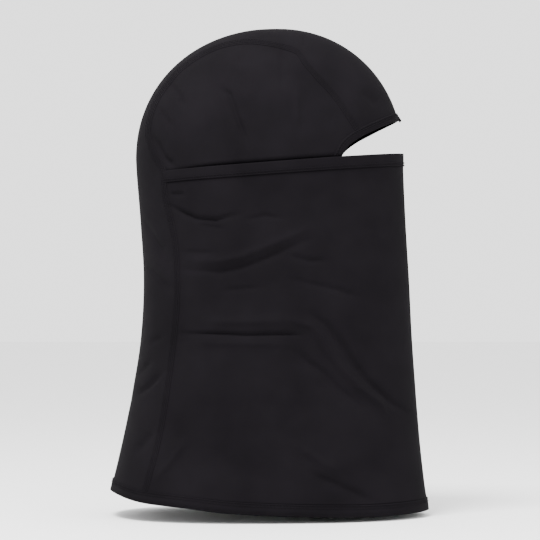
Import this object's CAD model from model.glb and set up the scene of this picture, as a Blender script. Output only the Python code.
from math import cos, pi, radians, sin

import bmesh
import bpy
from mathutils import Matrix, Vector


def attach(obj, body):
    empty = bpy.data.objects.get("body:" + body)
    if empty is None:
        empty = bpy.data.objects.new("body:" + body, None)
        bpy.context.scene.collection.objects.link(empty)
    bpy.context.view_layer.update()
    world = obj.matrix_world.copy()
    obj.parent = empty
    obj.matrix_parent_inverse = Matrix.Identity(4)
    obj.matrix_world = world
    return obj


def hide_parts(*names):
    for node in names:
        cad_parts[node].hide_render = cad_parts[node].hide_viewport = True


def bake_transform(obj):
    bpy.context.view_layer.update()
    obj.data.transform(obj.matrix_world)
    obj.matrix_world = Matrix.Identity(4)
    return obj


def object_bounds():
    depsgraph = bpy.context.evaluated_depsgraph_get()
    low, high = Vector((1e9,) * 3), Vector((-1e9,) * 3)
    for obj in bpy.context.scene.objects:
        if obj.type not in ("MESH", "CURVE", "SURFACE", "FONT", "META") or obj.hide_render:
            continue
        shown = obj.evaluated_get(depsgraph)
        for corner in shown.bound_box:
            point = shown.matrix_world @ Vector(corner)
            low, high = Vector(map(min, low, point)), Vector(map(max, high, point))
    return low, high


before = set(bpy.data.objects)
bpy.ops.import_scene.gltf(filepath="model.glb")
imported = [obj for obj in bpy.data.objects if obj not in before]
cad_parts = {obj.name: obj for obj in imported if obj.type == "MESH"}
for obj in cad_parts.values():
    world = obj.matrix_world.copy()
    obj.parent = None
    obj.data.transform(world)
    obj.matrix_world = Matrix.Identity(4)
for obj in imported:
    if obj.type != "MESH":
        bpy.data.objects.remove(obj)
cad_box = [[float(value) for value in corner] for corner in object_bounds()]

# All outlines are in millimetres of the CAD frame, side view: (x, z)
MM = 0.001
MERGE = 0.000002            # metres, where a closed sheet meets itself
HINGE = (-84.0, -11.0)
EDGE_SLOPE = 4.6            # degrees, the mask's top edge about the hinge
POWER = 2.2                 # squareness of a horizontal section
CLOTH = 1.2                 # thickness
FOLD_GAIN = 1.35            # how deep the creases are drawn
LEFT_SHARE = 0.6            # how deep the wearer's left has them, beside the right
SWELL, RIPPLE = 0.7, 0.12   # millimetres of broad and fine unevenness
SETTLE = 6                  # rounds to settle a point that depends on its own place
CROWN = 109.0
DOME_CENTRE, DOME_BACK, DOME_FRONT, DOME_SIDE = 8.0, 116.5, 105.5, 80.0
PROFILE_POWER, WIDTH_POWER = 2.1, 1.8
WIDEST = -28.0
TUCK_RISE, TUCK_RUN = 4.0, 14.0     # the hood sides go in behind the mask from just above its edge
TUCK_DEPTH, SEAM_TUCK = 12.5, 2.2   # how deep in the middle, and beside the seam
SEAM_MARGIN, TUCK_SPREAD = 3.0, 42.0
HOOD_BOTTOM = -80.0                 # the hidden lower edge of the hood sides
HOOD_MIDDLE = (-12.0, 12.0)         # where the rings of a hood side close
# height, back, front, half-width
TUBE = [
    (-305.0, -139.0, 136.5, 98.0), (-270.0, -128.5, 131.5, 92.0), (-235.0, -120.0, 127.5, 87.0),
    (-200.0, -112.5, 124.5, 83.5), (-150.0, -104.6, 121.0, 81.0), (-100.0, -102.0, 118.5, 80.3),
    (-50.0, -104.8, 115.5, 80.2), (0.0, -108.5, 113.5, 80.0),
]
SEAM = [
    (77.5, 17.0), (57.0, 48.2), (42.8, 64.0), (32.0, 77.0), (24.0, 87.5), (0.0, 94.5), (-22.0, 95.6),
    (-46.0, 89.5), (-69.4, 74.8), (-84.5, 57.0), (-93.0, 41.0), (-96.9, 22.0), (-93.0, 5.0), (-84.5, -10.0),
    (-82.5, -32.0), (-74.5, -66.0), (-72.0, -100.0), (-74.5, -141.5), (-81.0, -195.0), (-88.5, -233.5),
    (-98.5, -272.0),
]
APEX_INDEX = 13             # the point of SEAM beside the hinge
FACE_EDGE = [(77.5, 17.0), (66.1, 8.3), (59.5, -5.0), (52.0, -31.0), (34.0, -57.0), (8.0, -76.0)]
BROW_EDGE = [(110.2, 32.4), (93.6, 24.9), (77.5, 17.0)]
HEM_EDGE = [(-128.5, -273.6), (-103.5, -279.4), (-66.0, -282.7), (-28.7, -286.9), (21.0, -289.4),
            (83.6, -291.0), (133.5, -290.0)]

# Creases on the wearer's right: points, half-width and height (negative is a groove)
FOLDS = [
    ([(-69, -143), (-42, -142.6), (-15, -143.5), (10, -142.8), (28, -144)], 2.6, -2.6),
    ([(-50, -133), (-20, -133), (18, -132)], 8.0, 1.6),
    ([(-60, -150), (-20, -150.5), (20, -151)], 5.0, 0.8),
    ([(22, -132), (36, -137), (53, -162), (72, -185), (91, -200), (96, -207)], 5.5, 2.4),
    ([(36, -127), (49, -136), (63, -154), (72, -168), (83, -182), (104, -201), (120, -210)], 5.0, -2.2),
    ([(24, -157), (36, -167), (47, -175), (63, -191), (78, -203)], 5.5, -2.0),
    ([(-79, -39), (-66, -46), (-57, -50), (-41, -51.5), (-23, -46.5)], 3.5, -2.0),
    ([(-79, -30), (-66, -30)], 2.5, -1.2),
    ([(-55, -55), (-35, -58)], 3.0, -0.9),
    ([(-16, -51.5), (-1, -47.5), (13, -50)], 3.0, -0.9),
    ([(-66, -91.5), (-38, -93), (-20, -89), (-1, -81.5), (11, -76.5), (34.5, -67)], 5.0, -1.9),
    ([(-66, -84), (-38, -84.5), (-20, -80.5), (-1, -73), (11, -68), (34.5, -58)], 5.5, 1.4),
    ([(19, -79), (33, -84), (49, -84)], 4.0, -1.2),
    ([(-68, -77), (-41, -78)], 3.5, -0.8),
    ([(-34, -108), (-4, -105.5)], 4.0, -0.9),
    ([(20, -99), (60, -108), (73, -113.5)], 4.5, -1.1),
    ([(35, -255), (60, -266), (87, -279)], 6.0, -1.8),
    ([(24, -232), (56, -254)], 6.0, 1.5),
    ([(-88, -259), (-75, -243), (-64, -228)], 5.0, 1.5),
    ([(-38, 57), (-29.5, 50), (-23, 30), (-14.5, 9)], 5.0, -1.8),
    ([(-24.5, 88), (-21, 70), (-16, 50)], 6.0, -1.1),
    ([(-79, 62), (-70, 50), (-68, 42)], 4.0, -1.3),
    ([(-89, 42), (-76, 23)], 4.5, -1.2),
    ([(-94, 20), (-83, -1), (-74, -8)], 5.0, -1.8),
    ([(13, 91), (13, 54)], 7.0, -1.3),
    ([(24.5, 57), (24.5, 23)], 7.0, 1.2),
    ([(78, 56), (92, 43)], 6.0, -1.2),
    ([(31, 103), (31, 90)], 4.5, -0.8),
    ([(-103, -48), (-92, -66), (-79, -84)], 4.5, -1.4),
    ([(-99, -87), (-86, -99), (-76, -110)], 4.5, -1.3),
    ([(-108, -194), (-97, -187), (-84, -174)], 4.5, -1.9),
    ([(-108, -179), (-93, -165)], 4.5, -1.2),
    ([(-98, -152), (-84, -146)], 4.5, -1.1),
    ([(-106, -239), (-93, -223)], 6.0, -1.4),
]


def power(value, exponent):
    return abs(value) ** exponent * (1 if value >= 0 else -1)


def smooth(value):
    part = min(max(value, 0.0), 1.0)
    return part * part * (3 - 2 * part)


def through(p, q, r, s, t):
    """Catmull-Rom: the value at a share t of the way from q to r, with p before and s after."""
    return 0.5 * (2 * q + (r - p) * t + (2 * p - 5 * q + 4 * r - s) * t**2
                  + (3 * q - p - 3 * r + s) * t**3)


def curve(points, steps):
    """A smooth line through hand-placed points, evenly divided per span."""
    line = []
    for index in range(len(points) - 1):
        before = points[max(index - 1, 0)]
        a, b = points[index], points[index + 1]
        after = points[min(index + 2, len(points) - 1)]
        for step in range(steps):
            t = step / steps
            line.append(tuple(through(*four, t) for four in zip(before, a, b, after)))
    line.append(points[-1])
    return line


def resample(line, count):
    """The same line as count + 1 evenly spaced points."""
    lengths = [0.0]
    for a, b in zip(line, line[1:]):
        lengths.append(lengths[-1] + ((a[0] - b[0]) ** 2 + (a[1] - b[1]) ** 2) ** 0.5)
    even, index = [], 0
    for step in range(count + 1):
        target = lengths[-1] * step / count
        while index < len(line) - 2 and lengths[index + 1] < target:
            index += 1
        part = (target - lengths[index]) / max(lengths[index + 1] - lengths[index], 1e-9)
        a, b = line[index], line[index + 1]
        even.append((a[0] + part * (b[0] - a[0]), a[1] + part * (b[1] - a[1])))
    return even


def section(height):
    """Back, front, half-width and widest place of the form at a height."""
    if height > 0:
        rise = min(height / CROWN, 0.9999)
        length = (1 - rise**PROFILE_POWER) ** (1 / PROFILE_POWER)
        width = (1 - rise**WIDTH_POWER) ** (1 / WIDTH_POWER)
        widest = WIDEST + (DOME_CENTRE - WIDEST) * rise**2
        return (DOME_CENTRE - DOME_BACK * length, DOME_CENTRE + DOME_FRONT * length, DOME_SIDE * width,
                widest)
    index = max(i for i in range(len(TUBE) - 1) if TUBE[i][0] <= height or i == 0)
    rows = [TUBE[max(index - 1, 0)], TUBE[index], TUBE[index + 1], TUBE[min(index + 2, len(TUBE) - 1)]]
    t = (height - rows[1][0]) / (rows[2][0] - rows[1][0])
    back, front, half = (through(*four, t) for four in zip(*(row[1:] for row in rows)))
    return back, front, half, WIDEST


def across(x, z):
    """Distance of the form's surface from the middle plane, at a point of the side view."""
    back, front, half, widest = section(z)
    reach = front - widest if x > widest else widest - back
    part = min(abs(x - widest) / reach, 1.0)
    return half * (1 - part**POWER) ** (1 / POWER)


def fold(x, z, side):
    """Height of the creases at a point of the side view; the wearer's left has its own, softer ones."""
    if side > 0:
        x, z = x + 7.0, z * 0.97 - 6.0
    height = 0.0
    for points, width, rise in FOLDS:
        nearest, where = 1e9, 0.0
        spans = len(points) - 1
        for index in range(spans):
            (ax, az), (bx, bz) = points[index], points[index + 1]
            dx, dz = bx - ax, bz - az
            part = min(max(((x - ax) * dx + (z - az) * dz) / (dx * dx + dz * dz), 0.0), 1.0)
            gap = (x - ax - part * dx) ** 2 + (z - az - part * dz) ** 2
            if gap < nearest:
                nearest, where = gap, (index + part) / spans
        if nearest < 9 * width * width:
            taper = min(1.0, 0.25 + 3.0 * where, 0.25 + 3.0 * (1 - where))
            height += rise * taper / (1 + nearest / (0.5 * width * width)) ** 2
    swell = SWELL * sin(x / 23.0 + 1.3 * sin(z / 37.0)) * sin(z / 29.0 + 0.8 * side)
    ripple = RIPPLE * sin(z / 3.1 + 2.2 * sin(x / 19.0)) * (0.5 + 0.5 * sin(x / 27.0 + z / 41.0))
    return (FOLD_GAIN if side < 0 else LEFT_SHARE * FOLD_GAIN) * height + swell + ripple


def place(x, z, side, depth=0.0):
    """A point of the worn surface, in metres, with its creases, drawn in by a depth in millimetres."""
    y = across(x, z)
    _, _, half, widest = section(z)
    flat = min(y / half, 1.0) if half else 0.0
    lift = fold(x, z, side) * smooth(flat * 1.6) - depth
    # the way out of the surface, near enough: sideways in the middle, along x at the outline
    out_x = (1 if x > widest else -1) * (1 - flat * flat) ** 0.5
    top = smooth(z / CROWN) if z > 0 else 0.0
    return Vector((
        (x + lift * out_x * (1 - top)) * MM,
        side * (max(y + lift * flat, 0.0) if y > 1e-6 else 0.0) * MM,
        (z + lift * top * (1 - flat * flat) ** 0.5) * MM,
    ))


def make(name, verts, faces, material):
    mesh = bpy.data.meshes.new(name)
    mesh.from_pydata(verts, [], faces)
    joined = bmesh.new()
    joined.from_mesh(mesh)
    bmesh.ops.remove_doubles(joined, verts=joined.verts, dist=MERGE)
    joined.to_mesh(mesh)
    joined.free()
    mesh.validate()
    mesh.polygons.foreach_set("use_smooth", [True] * len(mesh.polygons))
    mesh.materials.append(material)
    piece = bpy.data.objects.new(name, mesh)
    bpy.context.collection.objects.link(piece)
    return piece


def grid(name, rows, material, thickness=CLOTH):
    """A sheet of cloth from rows of points, thickened inwards."""
    wide = len(rows[0])
    verts = [point for row in rows for point in row]
    faces = []
    for r in range(len(rows) - 1):
        for c in range(wide - 1):
            a = r * wide + c
            faces.append((a, a + 1, a + wide + 1, a + wide))
    piece = make(name, verts, faces, material)
    outward = 0
    for face in piece.data.polygons:
        from_middle = Vector((face.center.x, face.center.y, max(face.center.z, 0.0)))
        outward += 1 if face.normal.dot(from_middle) > 0 else -1
    if outward < 0:
        piece.data.flip_normals()
    solid = piece.modifiers.new("cloth", "SOLIDIFY")
    solid.thickness = thickness * MM
    solid.offset = -1.0
    return piece


# Materials

SPECULAR = 0.035
DARKER, LIGHTER = 0.82, 1.16        # the range of shade in the nap


def cloth_material(name, colour, rough, bump):
    """Brushed jersey: fine knit ribs under a soft nap, with slight unevenness of shade."""
    material = bpy.data.materials.new(name)
    material.use_nodes = True
    nodes, links = material.node_tree.nodes, material.node_tree.links
    shader = nodes["Principled BSDF"]
    shader.inputs["Roughness"].default_value = rough
    shader.inputs["Specular IOR Level"].default_value = SPECULAR
    place_in = nodes.new("ShaderNodeTexCoord")
    cloud = nodes.new("ShaderNodeTexNoise")
    cloud.inputs["Scale"].default_value = 26.0
    cloud.inputs["Detail"].default_value = 5.0
    shades = nodes.new("ShaderNodeValToRGB")
    shades.color_ramp.elements[0].position = 0.3
    shades.color_ramp.elements[1].position = 0.72
    shades.color_ramp.elements[0].color = (*[DARKER * c for c in colour], 1)
    shades.color_ramp.elements[1].color = (*[LIGHTER * c for c in colour], 1)
    knit = nodes.new("ShaderNodeTexWave")
    knit.inputs["Scale"].default_value = 620.0
    knit.inputs["Distortion"].default_value = 3.0
    knit.inputs["Detail"].default_value = 1.0
    nap = nodes.new("ShaderNodeTexNoise")
    nap.inputs["Scale"].default_value = 900.0
    nap.inputs["Detail"].default_value = 3.0
    both = nodes.new("ShaderNodeMath")
    both.operation = "ADD"
    bumps = nodes.new("ShaderNodeBump")
    bumps.inputs["Strength"].default_value = bump
    bumps.inputs["Distance"].default_value = 0.0002
    for texture in (cloud, knit, nap):
        links.new(place_in.outputs["Object"], texture.inputs["Vector"])
    links.new(cloud.outputs["Fac"], shades.inputs["Fac"])
    links.new(shades.outputs["Color"], shader.inputs["Base Color"])
    links.new(knit.outputs["Fac"], both.inputs[0])
    links.new(nap.outputs["Fac"], both.inputs[1])
    links.new(both.outputs["Value"], bumps.inputs["Height"])
    links.new(bumps.outputs["Normal"], shader.inputs["Normal"])
    return material


# Set by eye under the strong light below, so darker than real cloth
JERSEY = cloth_material("jersey", (0.0046, 0.0039, 0.0049), 0.95, 0.4)
HEM = cloth_material("hem", (0.0046, 0.0039, 0.0049), 0.95, 0.5)
THREAD = cloth_material("thread", (0.0058, 0.0050, 0.0062), 0.85, 0.4)


# Side-view lines

def edge_height(x):
    """Height of the mask's top edge."""
    return HINGE[1] + (x - HINGE[0]) * sin(radians(EDGE_SLOPE)) / cos(radians(EDGE_SLOPE))


def height_on(line, x):
    for a, b in zip(line, line[1:]):
        if a[0] <= x <= b[0]:
            return a[1] + (b[1] - a[1]) * (x - a[0]) / (b[0] - a[0])
    return line[0][1] if x < line[0][0] else line[-1][1]


SEAM_STEPS = 24
HEM_LINE = curve(HEM_EDGE, 8)
SEAM_LINE = curve(SEAM, SEAM_STEPS)
APEX = APEX_INDEX * SEAM_STEPS
BACK_SEAM = sorted(SEAM_LINE[APEX:], key=lambda point: -point[1])


def seam_x(z):
    """Front-to-back place of the back seam at a height, from the hinge down."""
    for a, b in zip(BACK_SEAM, BACK_SEAM[1:]):
        if b[1] <= z <= a[1]:
            return a[0] + (b[0] - a[0]) * (z - a[1]) / (b[1] - a[1])
    return BACK_SEAM[0][0] if z > BACK_SEAM[0][1] else BACK_SEAM[-1][0]


def front_panel_point(turn, down, depth=0.0):
    """turn from -1 (right seam) through 0 (front) to 1 (left seam); down from 0 (top edge) to 1 (hem)."""
    x = 40.0
    for _ in range(SETTLE):
        top, bottom = edge_height(x), height_on(HEM_LINE, x)
        z = top + (bottom - top) * down
        back, front, _, widest = section(z)
        rear = seam_x(z)
        # an even spread round the section: angle of the superellipse
        part = min(max((rear - widest) / (widest - back), -1.0), 1.0)
        last = pi - (pi / 2 - abs(pi / 2 * power(part, POWER / 2)))
        angle = abs(turn) * last
        reach = front - widest if cos(angle) > 0 else widest - back
        x = max(widest + reach * power(cos(angle), 2 / POWER), rear)
    return place(x, z, -1 if turn < 0 else 1, depth)


def panel_rows(turns, downs, depth=0.0):
    return [[front_panel_point(turn, down, depth) for turn in turns] for down in downs]


def spread(count, low, high):
    return [low + (high - low) * step / count for step in range(count + 1)]


# The front panel: mask and neck, one cloth, with its turned hems

DETAIL = 1
TURNS = spread(260 // DETAIL, -1.0, 1.0)
DOWNS = spread(180 // DETAIL, 0.035, 0.967)         # from under the mask's hem to under the neck's
panel = grid("front_panel", panel_rows(TURNS, DOWNS), JERSEY)
mask_band = grid("mask_hem_band", panel_rows(TURNS, spread(10, 0.0, 0.0352), -0.5), HEM, 2.4)


def outline():
    """The middle line of the crown strip: brow, crown, nape, hem."""
    line = []
    for step in range(121):
        turn = pi * step / 120
        height = CROWN * power(sin(turn), 2 / PROFILE_POWER)
        length = (DOME_FRONT if turn < pi / 2 else DOME_BACK) * power(cos(turn), 2 / PROFILE_POWER)
        if turn > pi / 2 or height > BROW_EDGE[0][1]:
            line.append((DOME_CENTRE + length, height))
    for height in spread(60, -2.0, HEM_EDGE[0][1]):
        line.append((section(height)[0], height))
    return line


OUTLINE = outline()


def matched(count):
    """Pairs of seam and outline points along the strip, matched by hand at four places."""
    stops_seam = [SEAM[0], (28.0, 82.0), (-46.0, 89.5), (-96.9, 22.0), (-72.0, -100.0), SEAM[-1]]
    stops_out = [BROW_EDGE[0], (40.0, 105.0), (-58.0, 92.5), (-107.5, 22.0), (-102.0, -100.0),
                 HEM_EDGE[0]]

    def cut(line, stops):
        marks = []
        for x, z in stops:
            gaps = [(a - x) ** 2 + (b - z) ** 2 for a, b in line]
            marks.append(gaps.index(min(gaps)))
        marks[0], marks[-1] = 0, len(line) - 1
        pieces = []
        for a, b in zip(marks, marks[1:]):
            pieces += resample(line[a:b + 1], count)[:-1]
        return pieces + [line[-1]]

    return list(zip(cut(SEAM_LINE, stops_seam), cut(OUTLINE, stops_out)))


def strip_rows():
    """Rows across the crown strip, from the brow to the back hem."""
    rows = []
    for seam, out in matched(84 // DETAIL):
        row = []
        for w in spread(56, -1.0, 1.0):
            near = 1 - w * w
            x, z = seam[0] + (out[0] - seam[0]) * near, seam[1] + (out[1] - seam[1]) * near
            point = place(x, z, -1 if w < 0 else 1)
            if abs(w) < 1e-6:
                point.y = 0.0
            row.append(point)
        rows.append(row)
    return rows


strip = grid("crown_strip", strip_rows(), JERSEY)


# Hood sides, tucked in behind the mask

def tuck(x, z):
    """How deep the hood sides lie: flush above the mask's edge, further in behind it, shallow at the seam."""
    behind = smooth((edge_height(x) + TUCK_RISE - z) / TUCK_RUN)
    from_seam = smooth((x - HINGE[0] - SEAM_MARGIN) / TUCK_SPREAD)
    return behind * (SEAM_TUCK + (TUCK_DEPTH - SEAM_TUCK) * from_seam)


def hood_side(side, name):
    """A hood side, in rings from its middle to its rim."""
    upper = SEAM_LINE[:APEX + 1]
    lower = [p for p in SEAM_LINE[APEX:] if p[1] > HOOD_BOTTOM]
    rim = upper + lower + [(x, HOOD_BOTTOM) for x in spread(20, lower[-1][0], FACE_EDGE[-1][0])]
    rim = resample(rim + curve(FACE_EDGE, 8)[::-1], 300 // DETAIL)
    rows = []
    for step in spread(70 // DETAIL, 0.0, 1.0):
        row = []
        for x, z in rim:
            px = HOOD_MIDDLE[0] + (x - HOOD_MIDDLE[0]) * step
            pz = HOOD_MIDDLE[1] + (z - HOOD_MIDDLE[1]) * step
            row.append(place(px, pz, side, tuck(px, pz)))
        rows.append(row)
    return grid(name, rows, JERSEY)


right_side = hood_side(-1, "right_side_panel")
left_side = hood_side(1, "left_side_panel")


# Sewing: stitches are short rounded threads that lie on the cloth

def chain(name, lines, radius, dash=0.0022, gap=0.25):
    """Rows of stitches along lines of points, in metres, as one mesh of small capsules."""
    verts, faces = [], []
    ring = 6
    for line in lines:
        walked, start = 0.0, None
        for a, b in zip(line, line[1:]):
            step = (b - a).length
            if start is None:
                start = a
            walked += step
            if walked >= dash:
                along = (b - start).normalized()
                aside = Vector((0, 0, 1)) if abs(along.z) < 0.9 else Vector((1, 0, 0))
                side = along.cross(aside).normalized()
                up = along.cross(side)
                base = len(verts)
                spans = [(0.0, 0.35), (0.2, 1.0), (0.8, 1.0), (1.0, 0.35)]
                for share, wide in spans:
                    centre = start.lerp(b, share * (1 - gap))
                    for k in range(ring):
                        turn = 2 * pi * k / ring
                        verts.append(centre + (side * cos(turn) + up * sin(turn)) * radius * wide)
                for s in range(len(spans) - 1):
                    for k in range(ring):
                        j = (k + 1) % ring
                        faces.append((base + s * ring + k, base + s * ring + j,
                                      base + (s + 1) * ring + j, base + (s + 1) * ring + k))
                faces.append(tuple(base + k for k in range(ring))[::-1])
                faces.append(tuple(base + (len(spans) - 1) * ring + k for k in range(ring)))
                walked, start = 0.0, None
    return make(name, verts, faces, THREAD)


def offset_line(line, distance):
    """A side-view line moved to its left by a distance."""
    moved = []
    for index, (x, z) in enumerate(line):
        ax, az = line[max(index - 1, 0)]
        bx, bz = line[min(index + 1, len(line) - 1)]
        length = max(((bx - ax) ** 2 + (bz - az) ** 2) ** 0.5, 1e-9)
        moved.append((x - (bz - az) / length * distance, z + (bx - ax) / length * distance))
    return moved


def seam_band(side, name):
    """The flatlock ribbon over a side seam, with raised edges."""
    line = resample(SEAM_LINE, 520 // DETAIL)
    profile = [(-2.7, 0.5), (-2.3, -0.3), (-1.5, -0.45), (-0.75, -0.25), (0.0, -0.42), (0.75, -0.25),
               (1.5, -0.45), (2.3, -0.3), (2.7, 0.5)]
    columns = [offset_line(line, distance) for distance, _ in profile]
    rows = []
    for index in range(len(line)):
        rows.append([place(*columns[c][index], side, depth) for c, (_, depth) in enumerate(profile)])
    return grid(name, rows, HEM, 1.0)


def seam_stitches(side, name):
    """Four needle lines along a side seam."""
    line = resample(SEAM_LINE, 1500)
    lines = []
    for distance in (-2.0, -0.7, 0.7, 2.0):
        lines.append([place(x, z, side, -0.5) for x, z in offset_line(line, distance)])
    return chain(name, lines, 0.00026, 0.0021, 0.22)


pieces_root = [strip, right_side, left_side]
for side, word in ((-1, "right"), (1, "left")):
    pieces_root.append(seam_band(side, word + "_seam_band"))
    pieces_root.append(seam_stitches(side, word + "_seam_stitches"))

# Brow hem: a turned edge that follows the brow and the upper face opening
BROW_COUNT = 1600
BROW_DENSE = resample(curve(BROW_EDGE + FACE_EDGE[1:3], 12), BROW_COUNT)


def brow_points(count):
    """Points along the brow line, closer together at the forehead, where the cloth turns across the face."""
    return [BROW_DENSE[round(BROW_COUNT * (step / count) ** 2)] for step in range(count + 1)]


def brow_hem():
    rows = []
    for inset, depth in ((0.0, 0.6), (0.3, -0.5), (3.0, -0.75), (6.4, -0.6), (7.0, 0.3)):
        line = offset_line(brow_points(70), -inset)
        right = [place(x, z, -1, depth + tuck(x, z)) for x, z in line]
        left = [place(x, z, 1, depth + tuck(x, z)) for x, z in line]
        right[0].y = left[0].y = 0.0
        rows.append(right[::-1] + left[1:])
    return grid("brow_hem_fold", rows, HEM, 1.6)


pieces_root.append(brow_hem())
brow_rows = []
for inset in (4.3, 6.0):
    for side in (-1, 1):
        line = offset_line(brow_points(260), -inset)
        brow_rows.append([place(x, z, side, tuck(x, z) - 1.0) for x, z in line])
pieces_root.append(chain("brow_stitches", brow_rows, 0.00032))


# Neck hem all round

def ring_point(turn, up, depth):
    """A point of the neck hem, a turn from the front round the wearer's left, up from the hem's edge."""
    x = 0.0
    for _ in range(SETTLE):
        z = height_on(HEM_LINE, x) + up
        back, front, _, widest = section(z)
        reach = front - widest if cos(turn) > 0 else widest - back
        x = widest + reach * power(cos(turn), 2 / POWER)
    return place(x, z, 1 if turn % (2 * pi) < pi else -1, depth)


def hem_ring():
    rows = []
    for up, depth in ((0.0, 0.5), (0.4, -0.4), (5.0, -0.6), (9.4, -0.45), (10.2, 0.4)):
        rows.append([ring_point(turn, up, depth) for turn in spread(320, 0.0, 2 * pi)])
    return grid("neck_hem_fold", rows, HEM, 1.6)


pieces_root.append(hem_ring())
neck_rows = [[ring_point(turn, up, -0.85) for turn in spread(1600, 0.0, 2 * pi)] for up in (7.3, 9.3)]
pieces_root.append(chain("neck_stitches", neck_rows, 0.0003))
mask_rows = panel_rows(spread(900, -1.0, 1.0), (0.0255, 0.0325), -1.05)
mask_stitches = chain("mask_stitches", mask_rows, 0.0003)

for piece in pieces_root:
    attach(piece, "root")
for piece in (panel, mask_band, mask_stitches):
    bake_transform(piece)

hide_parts("mask_panel", "neck_panel")
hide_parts("mask_hem")
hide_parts("mask_hem_stitching")
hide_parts("crown_panel")
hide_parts("right_hood_side", "right_hood_hem")
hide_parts("left_hood_side", "left_hood_hem")
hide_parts("right_side_seam")
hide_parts("left_side_seam")
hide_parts("brow_hem")
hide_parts("brow_hem_stitching")
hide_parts("neck_hem")
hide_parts("neck_hem_stitching")


# Floor, light and camera

def plain(name, colour):
    material = bpy.data.materials.new(name)
    material.use_nodes = True
    shader = material.node_tree.nodes["Principled BSDF"]
    shader.inputs["Base Color"].default_value = (*colour, 1)
    shader.inputs["Roughness"].default_value = 0.9
    return material


FLOOR = 6.0                 # metres, half the floor's width
FLOOR_GAP = 0.004
low = cad_box[0][2] - FLOOR_GAP
corners = [(-FLOOR, -FLOOR, low), (FLOOR, -FLOOR, low), (FLOOR, FLOOR, low), (-FLOOR, FLOOR, low)]
floor_mesh = bpy.data.meshes.new("floor")
floor_mesh.from_pydata(corners, [], [(0, 1, 2, 3)])
floor_mesh.materials.append(plain("floor", (0.9, 0.9, 0.9)))
floor = bpy.data.objects.new("floor", floor_mesh)
bpy.context.collection.objects.link(floor)

world = bpy.data.worlds.new("studio")
world.use_nodes = True
world.node_tree.nodes["Background"].inputs["Color"].default_value = (1, 1, 1, 1)
world.node_tree.nodes["Background"].inputs["Strength"].default_value = 2.2
bpy.context.scene.world = world


def lamp(name, position, power_w, size, target=(0.0, 0.0, -0.08)):
    light = bpy.data.lights.new(name, "AREA")
    light.energy = power_w
    light.size = size
    thing = bpy.data.objects.new(name, light)
    thing.location = position
    thing.rotation_euler = (Vector(target) - Vector(position)).to_track_quat("-Z", "Y").to_euler()
    bpy.context.collection.objects.link(thing)


lamp("key", (-0.35, -0.7, 1.25), 60.0, 0.5)
lamp("fill", (1.0, -1.1, 0.3), 8.0, 0.9)

FRAME_WIDTH = 0.449         # metres across the picture
camera_data = bpy.data.cameras.new("camera")
camera_data.lens = 200.0
camera_data.sensor_width = 36.0
DISTANCE = FRAME_WIDTH * camera_data.lens / camera_data.sensor_width
camera = bpy.data.objects.new("camera", camera_data)
camera.location = (0.0029, -DISTANCE, -0.0915)
camera.rotation_euler = (pi / 2, 0.0, 0.0)
bpy.context.collection.objects.link(camera)
bpy.context.scene.camera = camera
